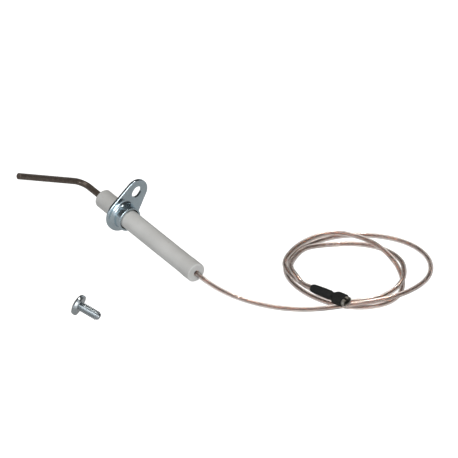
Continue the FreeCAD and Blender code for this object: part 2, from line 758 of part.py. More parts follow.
def receptacle_profile(x):
    """Outline of the rolled receptacle: a flat strip whose edges curl over and inwards."""
    half = dim("receptacle_width") / 2
    height = dim("receptacle_height")
    thick = dim("strip_thick")
    roll = (height - thick) / 2
    low = -height / 2
    tip = half - roll - dim("curl_lip")
    def curl(side, inset):
        radius = roll + thick / 2 - inset
        centre = Vector(x, side * (half - roll - thick / 2), low + roll + thick / 2)
        def at(angle):
            turn = math.radians(angle)
            return centre + Vector(0, side * radius * math.cos(turn), radius * math.sin(turn))
        return at
    outer_right = curl(1, 0)
    inner_right = curl(1, thick)
    outer_left = curl(-1, 0)
    inner_left = curl(-1, thick)
    lip_right = Vector(x, tip, outer_right(90).z)
    lip_right_in = Vector(x, tip, inner_right(90).z)
    lip_left = Vector(x, -tip, outer_left(90).z)
    lip_left_in = Vector(x, -tip, inner_left(90).z)
    edges = [
        Part.LineSegment(outer_left(-90), outer_right(-90)).toShape(),
        Part.Arc(outer_right(-90), outer_right(0), outer_right(90)).toShape(),
        Part.LineSegment(outer_right(90), lip_right).toShape(),
        Part.LineSegment(lip_right, lip_right_in).toShape(),
        Part.LineSegment(lip_right_in, inner_right(90)).toShape(),
        Part.Arc(inner_right(90), inner_right(0), inner_right(-90)).toShape(),
        Part.LineSegment(inner_right(-90), inner_left(-90)).toShape(),
        Part.Arc(inner_left(-90), inner_left(0), inner_left(90)).toShape(),
        Part.LineSegment(inner_left(90), lip_left_in).toShape(),
        Part.LineSegment(lip_left_in, lip_left).toShape(),
        Part.LineSegment(lip_left, outer_left(90)).toShape(),
        Part.Arc(outer_left(90), outer_left(0), outer_left(-90)).toShape(),
    ]
    return Part.Face(Part.Wire(edges))


def tube_solid(start, length, outer_dia, inner_dia):
    """Open-ended tube along local X."""
    base = Vector(start, 0, 0)
    outer = Part.makeCylinder(outer_dia / 2, length, base, X_AXIS)
    return outer.cut(Part.makeCylinder(inner_dia / 2, length, base, X_AXIS))


def strip(start, end, width, low):
    """Flat link of strip metal between two stations along local X."""
    return Part.makeBox(end - start, width, dim("strip_thick"), Vector(start, -width / 2, low))


def receptacle_terminal():
    """Push-on receptacle: rolled mouth, neck, wire barrel and insulation grip."""
    front = dim("receptacle_front")
    length = dim("receptacle_len")
    mouth = receptacle_profile(front - length).extrude(Vector(length, 0, 0))
    low = -dim("barrel_dia") / 2
    lap = dim("strip_lap")
    grip = tube_solid(dim("grip_start"), dim("grip_len"), dim("grip_dia"), dim("sheath_dia"))
    grip_stop = dim("grip_start") + dim("grip_len")
    barrel_start = grip_stop + dim("barrel_gap")
    barrel = tube_solid(barrel_start, dim("barrel_len"), dim("barrel_dia"), dim("core_dia"))
    grip_strip = strip(grip_stop - lap, barrel_start + lap, dim("grip_strip_width"), low)
    neck = strip(barrel_start + dim("barrel_len") - lap, front - length + 2 * lap,
                 dim("neck_width"), low + dim("neck_rise"))
    shape = mouth.multiFuse([grip, grip_strip, barrel, neck]).removeSplitter()
    return place(solid_feature("receptacle_terminal", shape), terminal_frame())


# One ridge of thread along its pitch: foot, the crest's two edges, and the other foot.
RIDGE = (0.0, 0.3, 0.4, 0.7)
# Plain length under the head, in pitches.
UNDER_HEAD = 0.4


def screw_profile():
    """Half section of the screw along local X: domed head, ringed thread and blunt point."""
    head_radius = dim("head_dia") / 2
    thick = dim("head_thick")
    crest = dim("thread_dia") / 2
    root = dim("thread_root_dia") / 2
    pitch = dim("thread_pitch")
    length = dim("thread_len")
    rise = thick - dim("head_rim")
    dome_radius = (head_radius ** 2 + rise ** 2) / (2 * rise)
    mid_rise = dome_radius - math.sqrt(dome_radius ** 2 - (head_radius / 2) ** 2)
    dome_start = Vector(-thick, 0, 0)
    dome_mid = Vector(-thick + mid_rise, 0, head_radius / 2)
    dome_end = Vector(-dim("head_rim"), 0, head_radius)
    edges = [Part.Arc(dome_start, dome_mid, dome_end).toShape()]
    points = [dome_end, Vector(0, 0, head_radius), Vector(0, 0, root)]
    turns = int((length - dim("screw_tip_len")) / pitch - UNDER_HEAD)
    for i in range(turns):
        start = (i + UNDER_HEAD) * pitch
        for share, radius in zip(RIDGE, (root, crest, crest, root)):
            points.append(Vector(start + share * pitch, 0, radius))
    points.append(Vector(length - dim("screw_tip_len"), 0, root))
    points.append(Vector(length, 0, dim("screw_tip_dia") / 2))
    points.append(Vector(length, 0, 0))
    points.append(dome_start)
    for a, b in zip(points, points[1:]):
        edges.append(Part.LineSegment(a, b).toShape())
    return Part.Face(Part.Wire(edges))


def fixing_screw():
    """Thread-forming pan-head screw with a cross recess, lying on head and tip."""
    blank = screw_profile().revolve(ORIGIN, X_AXIS, 360)
    span = dim("recess_span")
    width = dim("recess_width")
    depth = dim("recess_depth")
    above = 0.5
    top = -dim("head_thick") - above
    wing_y = Part.makeBox(depth + above, span, width, Vector(top, -span / 2, -width / 2))
    wing_z = Part.makeBox(depth + above, width, span, Vector(top, -width / 2, -span / 2))
    cross = wing_y.fuse(wing_z)
    return place(solid_feature("fixing_screw", blank.cut(cross)), screw_frame())


def screw_frame():
    """Lying pose: the head's rim and the last thread both touch the table."""
    table = -dim("plate_radius")
    drop = (dim("head_dia") - dim("thread_dia")) / 2
    tilt = math.atan(drop / (dim("thread_len") - dim("screw_tip_len")))
    lift = dim("head_dia") / 2 * math.cos(tilt)
    base = Vector(dim("screw_head_x"), dim("screw_head_y"), table + lift)
    turn = Rotation(dim("screw_heading"), math.degrees(tilt), 0)
    return Placement(base, turn)


# ------------------------------------------------------------------- build and save

def check_document():
    """Stop at any failed object or bad shape."""
    for obj in doc.Objects:
        if "Invalid" in obj.State or "Error" in obj.State:
            raise RuntimeError("%s: %s" % (obj.Name, obj.State))


def check_piece(piece):
    if piece.Shape.isNull() or not piece.Shape.isValid():
        raise RuntimeError("bad shape: " + piece.Label)


pieces = [
    sensing_rod(),
    ceramic_insulator(),
    mounting_flange(),
    collar_cement(),
    nose_cement(),
    splice_ferrule(),
    rear_cement(),
]
pieces += lead_root()
pieces += lead_neck()
pieces += lead_run()
pieces += lead_tail()
pieces += [receptacle_terminal(), terminal_sleeve(), fixing_screw()]

doc.recompute()
check_document()
os.makedirs("parts", exist_ok=True)
for piece in pieces:
    check_piece(piece)
    piece.Shape.exportStep(os.path.join("parts", piece.Label + ".step"))
    box = piece.Shape.BoundBox
    print("%-22s %d solid(s)  %9.2f mm3  x %.1f..%.1f  y %.1f..%.1f  z %.1f..%.1f" % (
        piece.Label, len(piece.Shape.Solids), piece.Shape.Volume,
        box.XMin, box.XMax, box.YMin, box.YMax, box.ZMin, box.ZMax))
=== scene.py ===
import math

import bpy
import bmesh
import numpy as np
from mathutils import Matrix, Vector, noise


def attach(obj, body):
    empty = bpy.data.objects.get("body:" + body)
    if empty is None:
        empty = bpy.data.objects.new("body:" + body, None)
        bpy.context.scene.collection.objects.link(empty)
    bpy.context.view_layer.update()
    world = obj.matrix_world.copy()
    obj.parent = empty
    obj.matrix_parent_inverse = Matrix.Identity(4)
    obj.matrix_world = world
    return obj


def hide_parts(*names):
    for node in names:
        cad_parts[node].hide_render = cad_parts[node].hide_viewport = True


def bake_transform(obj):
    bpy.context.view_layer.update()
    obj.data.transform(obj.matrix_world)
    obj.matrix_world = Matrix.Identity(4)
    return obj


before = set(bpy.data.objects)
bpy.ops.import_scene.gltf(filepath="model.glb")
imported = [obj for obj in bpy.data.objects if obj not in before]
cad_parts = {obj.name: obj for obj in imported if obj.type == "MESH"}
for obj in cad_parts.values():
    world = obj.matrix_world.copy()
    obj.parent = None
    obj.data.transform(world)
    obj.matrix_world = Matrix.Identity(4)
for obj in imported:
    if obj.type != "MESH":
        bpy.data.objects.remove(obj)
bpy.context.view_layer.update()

MM = 0.001

# The lead, in millimetres. These are the same dimensions as the CAD part's.
# Height of the lead's centre line where it lies on the table, and where it crosses over itself.
FLOOR = -7.1
OVER = -4.75
SHEATH_RADIUS = 1.1
BORE_RADIUS = 0.475
ROOT_START = 39.5
NECK_PIVOT = 56.8
LIFT_PIVOT = 59.2
RUN_START = 60.4
LEAD_IN = [(66.5, 3.0, -2.7), (77, 10.3, -6), (89.5, 20.3, FLOOR), (100.6, 32.9, -6.2)]
FIRST_TURN = [
    (107.2, 43.3, OVER), (111.6, 54.2, -4.7), (113.8, 64.6, -4.7), (112.6, 74.2, -5.6),
    (107.4, 85.4, -6.8), (98.5, 92.3, FLOOR), (87.2, 93.6, FLOOR), (75.7, 89.1, FLOOR),
    (66, 80, FLOOR), (60.3, 69.2, FLOOR), (58.7, 58.2, FLOOR), (61.1, 46.3, FLOOR),
    (68.0, 38.2, FLOOR), (80, 34.8, FLOOR), (91.5, 36.2, FLOOR),
]
SECOND_TURN = [
    (102.6, 41.6, FLOOR), (110.2, 50.4, FLOOR), (112.6, 61.4, FLOOR), (108.5, 69.8, FLOOR),
    (100.3, 75.8, -6.9), (90, 79, -5.8), (78.5, 78.9, OVER), (67.5, 75.4, OVER),
    (60, 68, OVER), (58.2, 57, OVER), (61.2, 46, OVER), (67.7, 38.0, OVER),
    (76.5, 36.1, -5), (87, 38.1, -6.4), (98, 42, FLOOR),
]
THIRD_TURN = [
    (104.3, 49.5, FLOOR), (108.4, 59.7, -6.4), (107.3, 69.9, -4.7), (100.4, 77.2, -4.4),
    (90.5, 81.7, -6.0), (79, 80.9, FLOOR), (70.2, 74.2, FLOOR), (64.6, 66, FLOOR),
    (62.4, 59, -6.2), (62.5, 52.7, -5.0), (67.7, 42.1, -3.9), (73.7, 36.9, -2.45),
    (80.3, 35.4, -2.9),
]
LEAD_LEAVE = (2, 0.26, -0.24)
TERMINAL_APPROACH = 1.8
TERMINAL_BASE = Vector((89.5, 36.2, -3.2))
TERMINAL_HEADING = 13.2
TERMINAL_PITCH = 5.0
TERMINAL_ROLL = 12.0
TERMINAL_PIVOT_BACK = 1.4
PIVOT_GAP = 0.06
GRIP_END = 4.75
LEAD_STEP = 0.55
TAIL_POINTS = 15
TAIL_OVERLAP = 8
# How far before and after each pivot the lead bends.
NECK_BEND = 1.2
LIFT_BEND_BEFORE = 1.1
LIFT_BEND_AFTER = Vector((1.5, 0.8, 0))
TAIL_BEND_BEFORE = 1.9
TAIL_BEND_AFTER = 1.5

# The screw, in millimetres and degrees.
TABLE = -8.2
SCREW_X = 41.9
SCREW_Y = -50.8
SCREW_HEADING = 27.4
HEAD_RADIUS = 4.65
HEAD_THICK = 3.1
THREAD_CREST = 2.1
THREAD_ROOT = 1.7
THREAD_PITCH = 0.8
THREAD_START = 0.25
THREAD_END = 9.45
THREAD_RUN_IN = 0.5
THREAD_RUN_OUT = 1.0
THREAD_FADE_END = 9.3
THREAD_FLANK = 3.4
THREAD_PEAK = 1.35
POINT_START = 8.4
POINT_TAPER = 0.4
SHANK_LENGTH = 9.6
SCREW_SIDES = 48
SCREW_STEP = 0.07
# Edges of the screw that turn by more than this many degrees are drawn sharp.
SHARP_EDGE = 40
# Cross recess, at its mouth and its floor: place along the screw, half span, half width.
RECESS_SECTIONS = [(-3.6, 2.5, 0.52), (-1.5, 0.9, 0.3)]


# ------------------------------------------------------------------ node materials

class Graph:
    """Builds the node tree of a material or a world. Noise scales are per metre."""

    def __init__(self, owner):
        self.owner = owner
        owner.use_nodes = True
        self.tree = owner.node_tree
        self.tree.nodes.clear()

    def add(self, kind, props=None, values=(), **inputs):
        """Add a node; a value that is a socket is linked, any other is set."""
        node = self.tree.nodes.new("ShaderNode" + kind)
        for key, value in (props or {}).items():
            setattr(node, key, value)
        for i, value in enumerate(values):
            self.feed(node.inputs[i], value)
        for key, value in inputs.items():
            self.feed(node.inputs[key.replace("_", " ")], value)
        return node

    def feed(self, socket, value):
        if isinstance(value, bpy.types.NodeSocket):
            self.tree.links.new(value, socket)
        else:
            socket.default_value = value

    def noise(self, vector, scale, detail=3.0, roughness=0.5):
        node = self.add("TexNoise", Vector=vector, Scale=scale, Detail=detail,
                        Roughness=roughness)
        return node.outputs["Fac"]

    def ramp(self, factor, stops):
        """Colour ramp whose stops are (position, colour)."""
        node = self.add("ValToRGB", values=(factor,))
        elements = node.color_ramp.elements
        while len(elements) < len(stops):
            elements.new(0.5)
        for element, (position, colour) in zip(elements, stops):
            element.position = position
            element.color = colour if len(colour) == 4 else (*colour, 1.0)
        return node.outputs["Color"]

    def remap(self, value, from_min, from_max, to_min, to_max):
        node = self.add("MapRange", values=(value, from_min, from_max, to_min, to_max))
        return node.outputs["Result"]

    def mix(self, factor, first, second):
        node = self.add("Mix", {"data_type": "RGBA"})
        # The node's colour sockets are inputs 6 and 7 and output 2.
        self.feed(node.inputs[0], factor)
        self.feed(node.inputs[6], first)
        self.feed(node.inputs[7], second)
        return node.outputs[2]

    def math(self, operation, first, second=0.0):
        node = self.add("Math", {"operation": operation}, (first, second))
        return node.outputs[0]

    def stretched(self, vector, scale):
        node = self.add("Mapping", Vector=vector, Scale=scale)
        return node.outputs["Vector"]

    def bump(self, height, strength, distance):
        node = self.add("Bump", Height=height, Strength=strength, Distance=distance)
        return node.outputs["Normal"]

    def finish(self, shader):
        """Close a material's tree and give the material."""
        self.add("OutputMaterial", Surface=shader)
        return self.owner

    def principled(self, **inputs):
        return self.add("BsdfPrincipled", **inputs).outputs[0]

    def place(self):
        return self.add("TexCoord").outputs["Object"]


def material_graph(name):
    return Graph(bpy.data.materials.new(name))


def grey(value):
    return (value, value, value, 1.0)


def ceramic_material():
    """Unglazed fired alumina: matt warm grey-white with fine grain and faint handling marks."""
    g = material_graph("fired_alumina")
    at = g.place()
    cloud = g.noise(at, 90.0, 4.0)
    grain = g.noise(at, 2600.0, 3.0, 0.65)
    streak = g.noise(g.stretched(at, (40.0, 900.0, 900.0)), 1.0, 4.0)
    colour = g.ramp(cloud, [(0.3, (0.585, 0.58, 0.562)), (0.7, (0.665, 0.662, 0.645))])
    colour = g.mix(g.remap(streak, 0.62, 0.8, 0.0, 0.35), colour, (0.50, 0.48, 0.44, 1.0))
    speck = g.remap(g.noise(at, 1100.0, 1.0), 0.72, 0.78, 0.0, 0.5)
    colour = g.mix(speck, colour, (0.42, 0.38, 0.33, 1.0))
    rough = g.remap(grain, 0.3, 0.7, 0.72, 0.9)
    height = g.math("ADD", g.math("MULTIPLY", grain, 0.6), g.math("MULTIPLY", cloud, 0.4))
    return g.finish(g.principled(
        Base_Color=colour, Roughness=rough, Normal=g.bump(height, 0.35, 0.00012),
        Specular_IOR_Level=0.35))


def cement_material(name, dark, light):
    """Rough mineral filling that runs from a dark colour in its hollows to a light one."""
    g = material_graph(name)
    at = g.place()
    lumps = g.noise(at, 900.0, 5.0, 0.7)
    colour = g.ramp(lumps, [(0.3, dark), (0.7, light)])
    return g.finish(g.principled(
        Base_Color=colour, Roughness=0.95, Normal=g.bump(lumps, 0.9, 0.0003)))


def zinc_material(name, tint, roughness):
    """Bright zinc plate: bluish, with faint drawing lines, cloudy passivation and small dings."""
    g = material_graph(name)
    at = g.place()
    cloud = g.noise(at, 160.0, 4.0, 0.6)
    fine = g.noise(at, 1500.0, 4.0, 0.6)
    lines = g.noise(g.stretched(at, (300.0, 300.0, 4200.0)), 1.0, 3.0)
    colour = g.ramp(cloud, [
        (0.25, [c * 0.86 for c in tint]), (0.5, tint), (0.8, [min(1, c * 1.1) for c in tint])])
    colour = g.mix(g.remap(fine, 0.66, 0.8, 0.0, 0.25), colour, (0.34, 0.36, 0.38, 1.0))
    rough = g.math("ADD", g.remap(cloud, 0.25, 0.75, roughness - 0.04, roughness + 0.05),
                   g.remap(fine, 0.3, 0.7, -0.02, 0.02))
    height = g.math("ADD", g.math("MULTIPLY", lines, 0.2), g.math("MULTIPLY", cloud, 0.8))
    return g.finish(g.principled(
        Base_Color=colour, Metallic=1.0, Roughness=rough,
        Normal=g.bump(height, 0.05, 0.00006)))


def rod_material():
    """Heat-resistant wire with a dark brown oxide skin, scaly and streaked along its length."""
    g = material_graph("oxidised_rod")
    at = g.place()
    scale = g.noise(at, 700.0, 5.0, 0.65)
    patch = g.noise(at, 130.0, 3.0)
    colour = g.ramp(scale, [
        (0.25, (0.075, 0.055, 0.043)), (0.5, (0.12, 0.092, 0.074)), (0.75, (0.175, 0.14, 0.115))])
    colour = g.mix(g.remap(patch, 0.45, 0.75, 0.0, 0.55), colour, (0.11, 0.085, 0.069, 1.0))
    rough = g.remap(scale, 0.3, 0.7, 0.42, 0.3)
    return g.finish(g.principled(
        Base_Color=colour, Metallic=0.45, Roughness=rough,
        Normal=g.bump(scale, 0.2, 0.00008)))


def sheath_material():
    """Clear plasticised sheath, slightly milky and warm, with a soft wavy surface."""
    g = material_graph("clear_sheath")
    at = g.place()
    waves = g.noise(at, 260.0, 2.0)
    fine = g.noise(at, 2200.0, 2.0)
    colour = g.ramp(waves, [(0.3, (0.755, 0.67, 0.625)), (0.7, (0.845, 0.77, 0.725))])
    rough = g.remap(fine, 0.3, 0.7, 0.08, 0.18)
    clear = g.principled(
        Base_Color=colour, Roughness=rough, IOR=1.42, Transmission_Weight=0.92,
        Normal=g.bump(waves, 0.2, 0.0001))
    return g.finish(clear)


def copper_material():
    """Bare fine-wire copper, bright on the crowns and brown between the strands."""
    g = material_graph("copper_strand")
    at = g.place()
    tone = g.noise(at, 420.0, 4.0, 0.6)
    colour = g.ramp(tone, [
        (0.25, (0.11, 0.042, 0.024)), (0.55, (0.32, 0.14, 0.082)), (0.8, (0.74, 0.40, 0.24))])
    rough = g.remap(tone, 0.3, 0.7, 0.3, 0.18)
    return g.finish(g.principled(
        Base_Color=colour, Metallic=1.0, Roughness=rough,
        Normal=g.bump(g.noise(at, 3000.0, 2.0), 0.15, 0.00003)))


def sleeve_material():
    """Matt black shrink sleeve with fine leathery texture and rubbed high spots."""
    g = material_graph("shrunk_sleeve")
    at = g.place()
    skin = g.noise(at, 1400.0, 4.0, 0.65)
    cloud = g.noise(at, 240.0, 3.0)
    colour = g.ramp(cloud, [(0.3, (0.005, 0.0055, 0.0055)), (0.75, (0.012, 0.0125, 0.0125))])
    colour = g.mix(g.remap(skin, 0.64, 0.82, 0.0, 0.4), colour, (0.03, 0.03, 0.03, 1.0))
    rough = g.remap(skin, 0.3, 0.7, 0.55, 0.72)
    return g.finish(g.principled(
        Base_Color=colour, Roughness=rough, Specular_IOR_Level=0.3,
        Normal=g.bump(skin, 0.5, 0.0001)))


def tinned_material():
    """Tin-plated brass strip: dull grey outside, yellowish where the cut edges show."""
    g = material_graph("tinned_brass")
    at = g.place()
    cloud = g.noise(at, 380.0, 4.0, 0.6)
    scratch = g.noise(g.stretched(at, (300.0, 5200.0, 5200.0)), 1.0, 3.0)
    colour = g.ramp(cloud, [
        (0.3, (0.30, 0.265, 0.21)), (0.55, (0.44, 0.42, 0.375)), (0.8, (0.58, 0.56, 0.52))])
    rough = g.remap(scratch, 0.3, 0.7, 0.30, 0.46)
    return g.finish(g.principled(
        Base_Color=colour, Metallic=1.0, Roughness=rough,
        Normal=g.bump(scratch, 0.25, 0.00005)))


# -------------------------------------------------------------------- mesh helpers

def mesh_object(name, verts, faces, material, smooth=True):
    """A new object in metres from vertices in millimetres."""
    mesh = bpy.data.meshes.new(name)
    mesh.from_pydata([tuple(c * MM for c in v) for v in verts], [], faces)
    mesh.validate()
    obj = bpy.data.objects.new(name, mesh)
    bpy.context.scene.collection.objects.link(obj)
    mesh.materials.append(material)
    outward(mesh)
    mesh.polygons.foreach_set("use_smooth", [smooth] * len(mesh.polygons))
    return obj


def outward(mesh):
    """Make the face normals point out of the closed mesh."""
    work = bmesh.new()
    work.from_mesh(mesh)
    bmesh.ops.recalc_face_normals(work, faces=work.faces)
    work.to_mesh(mesh)
    work.free()


def carried_frames(points):
    """Two side vectors at each point of a line, carried along it without twisting."""
    tangents = np.gradient(points, axis=0)
    tangents /= np.linalg.norm(tangents, axis=1)[:, None]
    side = np.cross(tangents[0], (0.0, 0.0, 1.0))
    side /= np.linalg.norm(side)
    sides = []
    for tangent in tangents:
        side = side - tangent * (side @ tangent)
        side /= np.linalg.norm(side)
        sides.append(side)
    sides = np.array(sides)
    return sides, np.cross(tangents, sides)


def ring_faces(rings, count, offset=0):
    """Quads that join rings of vertices, one after the other."""
    faces = []
    for i in range(rings - 1):
        for j in range(count):
            k = (j + 1) % count
            a = offset + i * count
            faces.append((a + j, a + k, a + count + k, a + count + j))
    return faces


def tube_faces(rings, count):
    """Faces of a thick tube: its outer rings, its inner rings, and the two flat ends."""
    faces = ring_faces(rings, count) + ring_faces(rings, count, rings * count)
    for end in (0, (rings - 1) * count):
        for j in range(count):
            k = (j + 1) % count
            low = rings * count + end
            faces.append((end + j, end + k, low + k, low + j))
    return faces


def swept_rings(points, sides, ups, radius, count):
    """Round rings of vertices about a line; radius is a number or one number for each point."""
    turn = np.linspace(0.0, 2 * math.pi, count, endpoint=False)
    radius = np.broadcast_to(radius, (len(points),))[:, None, None]
    offsets = (sides[:, None, :] * np.cos(turn)[None, :, None]
               + ups[:, None, :] * np.sin(turn)[None, :, None])
    return (points[:, None, :] + offsets * radius).reshape(-1, 3)


# --------------------------------------------------------------------------- lead

def spline(points, step):
    """Natural cubic through points, sampled about every step along it."""
    points = np.array(points, float)
    knots = np.r_[0.0, np.cumsum(np.linalg.norm(np.diff(points, axis=0), axis=1))]
    count = len(points)
    gap = np.diff(knots)
    matrix = np.eye(count)
    right = np.zeros((count, 3))
    for i in range(1, count - 1):
        matrix[i, i - 1] = gap[i - 1]
        matrix[i, i] = 2 * (gap[i - 1] + gap[i])
        matrix[i, i + 1] = gap[i]
        right[i] = 6 * ((points[i + 1] - points[i]) / gap[i]
                        - (points[i] - points[i - 1]) / gap[i - 1])
    bend = np.linalg.solve(matrix, right)
    at = np.linspace(0.0, knots[-1], int(knots[-1] / step) + 1)
    span = np.clip(np.searchsorted(knots, at, side="right") - 1, 0, count - 2)
    h = gap[span][:, None]
    before = (knots[span + 1] - at)[:, None] / h
    after = 1.0 - before
    return (before * points[span] + after * points[span + 1]
            + ((before ** 3 - before) * bend[span]
               + (after ** 3 - after) * bend[span + 1]) * h * h / 6)


def terminal_matrix():
    """Local frame of the terminal: origin at the sleeve's rear end, +X to its mouth."""
    turn = (Matrix.Rotation(math.radians(TERMINAL_HEADING), 4, "Z")
            @ Matrix.Rotation(math.radians(-TERMINAL_PITCH), 4, "Y")
            @ Matrix.Rotation(math.radians(TERMINAL_ROLL), 4, "X"))
    return Matrix.Translation(TERMINAL_BASE) @ turn


def lead_line():
    """The lead's whole centre line, and the indices where its pieces meet."""
    pivot_back = SHEATH_RADIUS + PIVOT_GAP
    ahead = np.array(terminal_matrix().to_3x3() @ Vector((1, 0, 0)))
    base = np.array(TERMINAL_BASE)
    finish = base - ahead * (TERMINAL_PIVOT_BACK + pivot_back)
    start = np.array((RUN_START, 0.0, 0.0))
    route = [start, start + LEAD_LEAVE]
    route += LEAD_IN + FIRST_TURN + SECOND_TURN + THIRD_TURN
    route += [finish - ahead * TERMINAL_APPROACH, finish]
    run = spline(route, LEAD_STEP)
    count = int((RUN_START - ROOT_START) / LEAD_STEP)
    root = np.linspace((ROOT_START, 0, 0), start, count, endpoint=False)
    tail_length = TERMINAL_PIVOT_BACK + pivot_back + GRIP_END
    tail = finish + ahead * np.linspace(0, tail_length, TAIL_POINTS)[1:, None]
    line = np.concatenate([root, run, tail])
    root_end = int(np.argmin(np.abs(root[:, 0] - (NECK_PIVOT + LIFT_PIVOT) / 2)))
    tail_start = len(root) + len(run) - TAIL_OVERLAP
    return line, root_end, tail_start


SHEATH_SIDES = 20
CENTRE_SIDES = 10
STRAND_SIDES = 6
STRANDS = 9
STRAND_RADIUS = 0.105
LAY_RADIUS = 0.31
LAY_LENGTH = 14.0


def add_sheath(name, line, sides, ups, material):
    """One stretch of sheath as a closed tube with a bore."""
    outer = swept_rings(line, sides, ups, SHEATH_RADIUS, SHEATH_SIDES)
    inner = swept_rings(line, sides, ups, BORE_RADIUS, SHEATH_SIDES)
    faces = tube_faces(len(line), SHEATH_SIDES)
    return mesh_object(name, np.concatenate([outer, inner]), faces, material)


def add_strands(name, line, sides, ups, travel, material):
    """One stretch of core: fine strands laid round a centre wire."""
    verts = []
    faces = []

    def add_wire(points, radius, around):
        offset = sum(len(v) for v in verts)
        own_sides, own_ups = carried_frames(points)
        verts.append(swept_rings(points, own_sides, own_ups, radius, around))
        faces.extend(ring_faces(len(points), around, offset))
        last = offset + (len(points) - 1) * around
        faces.append(tuple(range(offset, offset + around)))
        faces.append(tuple(range(last, last + around)))

    add_wire(line, LAY_RADIUS - STRAND_RADIUS, CENTRE_SIDES)
    for i in range(STRANDS):
        turn = 2 * math.pi * (travel / LAY_LENGTH + i / STRANDS)
        wire = line + LAY_RADIUS * (sides * np.cos(turn)[:, None] + ups * np.sin(turn)[:, None])
        add_wire(wire, STRAND_RADIUS, STRAND_SIDES)
    return mesh_object(name, np.concatenate(verts), faces, material)


def build_lead(sheath, copper):
    """Sheath and strands, in three stretches: root, run and tail."""
    line, root_end, tail_start = lead_line()
    sides, ups = carried_frames(line)
    travel = np.r_[0.0, np.cumsum(np.linalg.norm(np.diff(line, axis=0), axis=1))]
    ahead = terminal_matrix().to_3x3() @ Vector((1, 0, 0))
    neck = Vector((NECK_PIVOT, 0, 0))
    lift = Vector((LIFT_PIVOT, 0, 0))
    tilt = TERMINAL_BASE - ahead * TERMINAL_PIVOT_BACK
    along = Vector((1, 0, 0))
    # Name, first and last index, body, next body, and where the bend starts and ends.
    stretches = [
        ("root", 0, root_end, "probe", "lead_neck",
         neck - along * NECK_BEND, neck + along * NECK_BEND),
        ("run", root_end, tail_start, "lead_neck", "lead",
         lift - along * LIFT_BEND_BEFORE, lift + LIFT_BEND_AFTER),
        ("tail", tail_start, len(line) - 1, "lead", "terminal",
         tilt - ahead * TAIL_BEND_BEFORE, tilt + ahead * TAIL_BEND_AFTER),
    ]
    replaced = {"root": ["root", "neck"], "run": ["run"], "tail": ["tail"]}
    pieces = []
    for part, first, last, body, next_body, start, end in stretches:
        cut = slice(first, last + 1)
        course = (line[cut], sides[cut], ups[cut])
        tube = add_sheath("lead_sheath_" + part + "_visual", *course, sheath)
        wires = add_strands("lead_strands_" + part, *course, travel[cut], copper)
        for obj, kind, slot in ((tube, "sheath", "clear_sheath"), (wires, "core", "copper")):
            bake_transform(obj)
            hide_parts(*["lead_%s_%s" % (kind, name) for name in replaced[part]])
            pieces.append(obj)
    return pieces


# ------------------------------------------------------------------------- sleeve

SLEEVE_STATIONS = [
    # x, width, height, corner exponent (2 is round, higher is boxier)
    (0.0, 2.90, 2.90, 2.0),
    (0.3, 3.46, 3.46, 2.0),
    (0.9, 3.72, 3.70, 2.0),
    (3.0, 3.88, 3.86, 2.0),
    (6.0, 4.14, 4.10, 2.1),
    (9.6, 4.18, 4.14, 2.1),
    (10.3, 4.08, 4.02, 2.1),
    (11.0, 3.60, 3.50, 2.1),
    (11.5, 3.46, 3.34, 2.2),
    (12.0, 3.90, 3.40, 2.5),
    (12.6, 5.10, 3.46, 3.2),
    (13.1, 5.66, 3.48, 4.2),
    (14.0, 5.76, 3.46, 5.0),
    (17.8, 5.74, 3.44, 5.0),
    (18.0, 5.70, 3.40, 5.0),
]
SLEEVE_WALL = 0.28
SLEEVE_SIDES = 64
SLEEVE_STEP = 0.25
# Long wrinkles and short ripples of the shrunk skin, and how far it sinks on the whole.
WRINKLE_HEIGHT = 0.06
RIPPLE_HEIGHT = 0.025
SKIN_SINK = 0.03


def smooth_stations(stations, step):
    """The stations, eased into evenly spaced ones."""
    table = np.array(stations)
    at = np.linspace(table[0, 0], table[-1, 0], int(table[-1, 0] / step) + 1)
    columns = [np.interp(at, table[:, 0], table[:, i]) for i in range(1, table.shape[1])]
    kernel = np.array([1, 2, 3, 2, 1]) / 9
    eased = []
    for column in columns:
        padded = np.pad(column, 2, mode="edge")
        eased.append(np.convolve(padded, kernel, mode="valid"))
    return np.column_stack([at] + eased)


def skin_height(x, y, z):
    """How far the sleeve's skin stands out at a place, from its wrinkles and ripples."""
    wrinkle = noise.noise(Vector((x * 1.1, y * 0.8, z * 0.8))) * WRINKLE_HEIGHT
    ripple = noise.noise(Vector((x * 3.2, y * 0.5, z * 0.5 + 7))) * RIPPLE_HEIGHT
    return wrinkle + ripple - SKIN_SINK


def build_sleeve(material):
    """Shrunk sleeve: follows the grip, the barrel, the neck and the box of the receptacle."""
    rows = smooth_stations(SLEEVE_STATIONS, SLEEVE_STEP)
    place = terminal_matrix()
    verts = []
    for layer in (0.0, SLEEVE_WALL):
        for x, width, height, power in rows:
            for j in range(SLEEVE_SIDES):
                turn = 2 * math.pi * j / SLEEVE_SIDES
                c, s = math.cos(turn), math.sin(turn)
                y = math.copysign(abs(c) ** (2 / power), c) * (width / 2 - layer)
                z = math.copysign(abs(s) ** (2 / power), s) * (height / 2 - layer)
                if layer == 0.0:
                    grow = 1.0 + skin_height(x, y, z) / max(width, height) * 2
                    y *= grow
                    z *= grow
                verts.append(place @ Vector((x, y, z)))
    faces = tube_faces(len(rows), SLEEVE_SIDES)
    obj = mesh_object("terminal_sleeve_visual", verts, faces, material)
    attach(obj, "terminal")
    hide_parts("terminal_sleeve")


# -------------------------------------------------------------------------- screw

def screw_matrix():
    """Lying pose of the screw: head's rim and last thread on the table."""
    tilt = math.atan((HEAD_RADIUS - THREAD_CREST) / POINT_START)
    base = Vector((SCREW_X, SCREW_Y, TABLE + HEAD_RADIUS * math.cos(tilt)))
    turn = (Matrix.Rotation(math.radians(SCREW_HEADING), 4, "Z")
            @ Matrix.Rotation(tilt, 4, "Y"))
    return Matrix.Translation(base) @ turn


